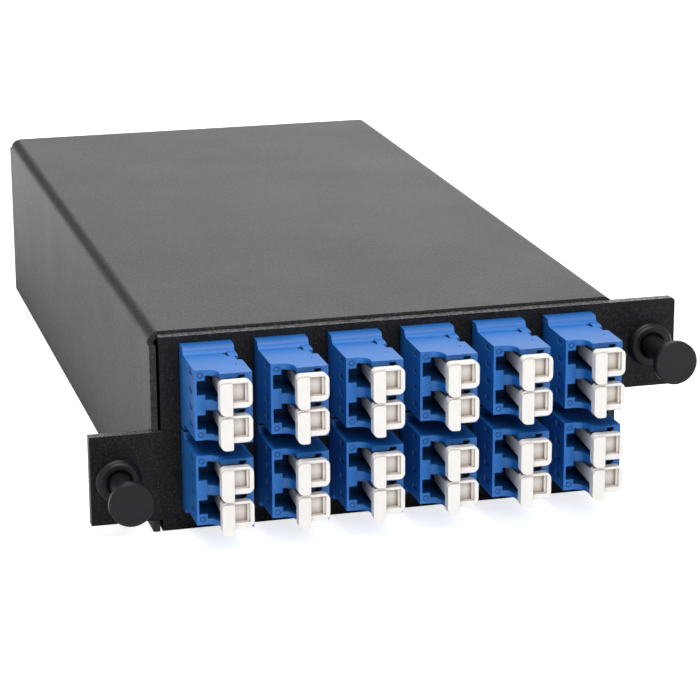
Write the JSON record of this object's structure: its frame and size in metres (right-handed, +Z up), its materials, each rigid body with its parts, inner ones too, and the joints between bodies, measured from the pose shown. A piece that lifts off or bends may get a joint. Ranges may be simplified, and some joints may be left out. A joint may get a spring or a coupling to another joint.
{
  "type": "fibre cassette",
  "caption": "Shallow black steel box that breaks out fibre: blue duplex adapters with white dust plugs on its front, push-pull plungers on its ears.",
  "frame": {"origin": "middle of the tray's flat underside", "axes": "+Z up, -Y towards the adapters on the front, +X to the right seen from the front"},
  "size_m": [0.1106, 0.2123, 0.0371],
  "materials": {
    "powder_coat": "fine textured black powder coat",
    "blue_plastic": "satin",
    "white_plastic": "satin",
    "black_plastic": "satin",
    "spring_steel": "bright",
    "screw_steel": "bright",
    "yellow_jacket": "satin",
    "grey_plastic": "satin"
  },
  "bodies": {
    "housing": {"base_tray": "powder_coat", "cover": "powder_coat", "lc_adapter_1": "blue_plastic", "lc_adapter_2": "blue_plastic", "lc_adapter_3": "blue_plastic", "lc_adapter_4": "blue_plastic", "lc_adapter_5": "blue_plastic", "lc_adapter_6": "blue_plastic", "lc_adapter_7": "blue_plastic", "lc_adapter_8": "blue_plastic", "lc_adapter_9": "blue_plastic", "lc_adapter_10": "blue_plastic", "lc_adapter_11": "blue_plastic", "lc_adapter_12": "blue_plastic", "adapter_clips": "spring_steel", "grommet_left": "black_plastic", "lc_connectors_left": "blue_plastic", "fibre_fan_left": "yellow_jacket", "fanout_left": "grey_plastic", "trunk_cable_left": "yellow_jacket", "mpo_connector_left": "grey_plastic", "mpo_adapter_left": "black_plastic", "grommet_right": "black_plastic", "lc_connectors_right": "blue_plastic", "fibre_fan_right": "yellow_jacket", "fanout_right": "grey_plastic", "trunk_cable_right": "yellow_jacket", "mpo_connector_right": "grey_plastic", "mpo_adapter_right": "black_plastic", "cover_screws": "screw_steel", "mpo_screws": "screw_steel"},
    "dust_plug_1": {"dust_plug_1": "white_plastic"},
    "dust_plug_2": {"dust_plug_2": "white_plastic"},
    "dust_plug_3": {"dust_plug_3": "white_plastic"},
    "dust_plug_4": {"dust_plug_4": "white_plastic"},
    "dust_plug_5": {"dust_plug_5": "white_plastic"},
    "dust_plug_6": {"dust_plug_6": "white_plastic"},
    "dust_plug_7": {"dust_plug_7": "white_plastic"},
    "dust_plug_8": {"dust_plug_8": "white_plastic"},
    "dust_plug_9": {"dust_plug_9": "white_plastic"},
    "dust_plug_10": {"dust_plug_10": "white_plastic"},
    "dust_plug_11": {"dust_plug_11": "white_plastic"},
    "dust_plug_12": {"dust_plug_12": "white_plastic"},
    "dust_plug_13": {"dust_plug_13": "white_plastic"},
    "dust_plug_14": {"dust_plug_14": "white_plastic"},
    "dust_plug_15": {"dust_plug_15": "white_plastic"},
    "dust_plug_16": {"dust_plug_16": "white_plastic"},
    "dust_plug_17": {"dust_plug_17": "white_plastic"},
    "dust_plug_18": {"dust_plug_18": "white_plastic"},
    "dust_plug_19": {"dust_plug_19": "white_plastic"},
    "dust_plug_20": {"dust_plug_20": "white_plastic"},
    "dust_plug_21": {"dust_plug_21": "white_plastic"},
    "dust_plug_22": {"dust_plug_22": "white_plastic"},
    "dust_plug_23": {"dust_plug_23": "white_plastic"},
    "dust_plug_24": {"dust_plug_24": "white_plastic"},
    "plunger_left": {"plunger_left": "black_plastic"},
    "plunger_right": {"plunger_right": "black_plastic"},
    "mpo_dust_cap_left": {"mpo_dust_cap_left": "black_plastic"},
    "mpo_dust_cap_right": {"mpo_dust_cap_right": "black_plastic"}
  },
  "joints": [
    {"name": "dust_plug_1_pull", "type": "slide", "parent": "housing", "child": "dust_plug_1", "axis": [0, -1, 0], "range_m": [0, 0.014]},
    {"name": "dust_plug_2_pull", "type": "slide", "parent": "housing", "child": "dust_plug_2", "axis": [0, -1, 0], "range_m": [0, 0.014]},
    {"name": "dust_plug_3_pull", "type": "slide", "parent": "housing", "child": "dust_plug_3", "axis": [0, -1, 0], "range_m": [0, 0.014]},
    {"name": "dust_plug_4_pull", "type": "slide", "parent": "housing", "child": "dust_plug_4", "axis": [0, -1, 0], "range_m": [0, 0.014]},
    {"name": "dust_plug_5_pull", "type": "slide", "parent": "housing", "child": "dust_plug_5", "axis": [0, -1, 0], "range_m": [0, 0.014]},
    {"name": "dust_plug_6_pull", "type": "slide", "parent": "housing", "child": "dust_plug_6", "axis": [0, -1, 0], "range_m": [0, 0.014]},
    {"name": "dust_plug_7_pull", "type": "slide", "parent": "housing", "child": "dust_plug_7", "axis": [0, -1, 0], "range_m": [0, 0.014]},
    {"name": "dust_plug_8_pull", "type": "slide", "parent": "housing", "child": "dust_plug_8", "axis": [0, -1, 0], "range_m": [0, 0.014]},
    {"name": "dust_plug_9_pull", "type": "slide", "parent": "housing", "child": "dust_plug_9", "axis": [0, -1, 0], "range_m": [0, 0.014]},
    {"name": "dust_plug_10_pull", "type": "slide", "parent": "housing", "child": "dust_plug_10", "axis": [0, -1, 0], "range_m": [0, 0.014]},
    {"name": "dust_plug_11_pull", "type": "slide", "parent": "housing", "child": "dust_plug_11", "axis": [0, -1, 0], "range_m": [0, 0.014]},
    {"name": "dust_plug_12_pull", "type": "slide", "parent": "housing", "child": "dust_plug_12", "axis": [0, -1, 0], "range_m": [0, 0.014]},
    {"name": "dust_plug_13_pull", "type": "slide", "parent": "housing", "child": "dust_plug_13", "axis": [0, -1, 0], "range_m": [0, 0.014]},
    {"name": "dust_plug_14_pull", "type": "slide", "parent": "housing", "child": "dust_plug_14", "axis": [0, -1, 0], "range_m": [0, 0.014]},
    {"name": "dust_plug_15_pull", "type": "slide", "parent": "housing", "child": "dust_plug_15", "axis": [0, -1, 0], "range_m": [0, 0.014]},
    {"name": "dust_plug_16_pull", "type": "slide", "parent": "housing", "child": "dust_plug_16", "axis": [0, -1, 0], "range_m": [0, 0.014]},
    {"name": "dust_plug_17_pull", "type": "slide", "parent": "housing", "child": "dust_plug_17", "axis": [0, -1, 0], "range_m": [0, 0.014]},
    {"name": "dust_plug_18_pull", "type": "slide", "parent": "housing", "child": "dust_plug_18", "axis": [0, -1, 0], "range_m": [0, 0.014]},
    {"name": "dust_plug_19_pull", "type": "slide", "parent": "housing", "child": "dust_plug_19", "axis": [0, -1, 0], "range_m": [0, 0.014]},
    {"name": "dust_plug_20_pull", "type": "slide", "parent": "housing", "child": "dust_plug_20", "axis": [0, -1, 0], "range_m": [0, 0.014]},
    {"name": "dust_plug_21_pull", "type": "slide", "parent": "housing", "child": "dust_plug_21", "axis": [0, -1, 0], "range_m": [0, 0.014]},
    {"name": "dust_plug_22_pull", "type": "slide", "parent": "housing", "child": "dust_plug_22", "axis": [0, -1, 0], "range_m": [0, 0.014]},
    {"name": "dust_plug_23_pull", "type": "slide", "parent": "housing", "child": "dust_plug_23", "axis": [0, -1, 0], "range_m": [0, 0.014]},
    {"name": "dust_plug_24_pull", "type": "slide", "parent": "housing", "child": "dust_plug_24", "axis": [0, -1, 0], "range_m": [0, 0.014]},
    {"name": "plunger_left_push", "type": "slide", "parent": "housing", "child": "plunger_left", "axis": [0, 1, 0], "range_m": [0, 0.009]},
    {"name": "plunger_right_push", "type": "slide", "parent": "housing", "child": "plunger_right", "axis": [0, 1, 0], "range_m": [0, 0.009]},
    {"name": "mpo_dust_cap_left_pull", "type": "slide", "parent": "housing", "child": "mpo_dust_cap_left", "axis": [0, 1, 0], "range_m": [0, 0.012]},
    {"name": "mpo_dust_cap_right_pull", "type": "slide", "parent": "housing", "child": "mpo_dust_cap_right", "axis": [0, 1, 0], "range_m": [0, 0.012]}
  ]
}
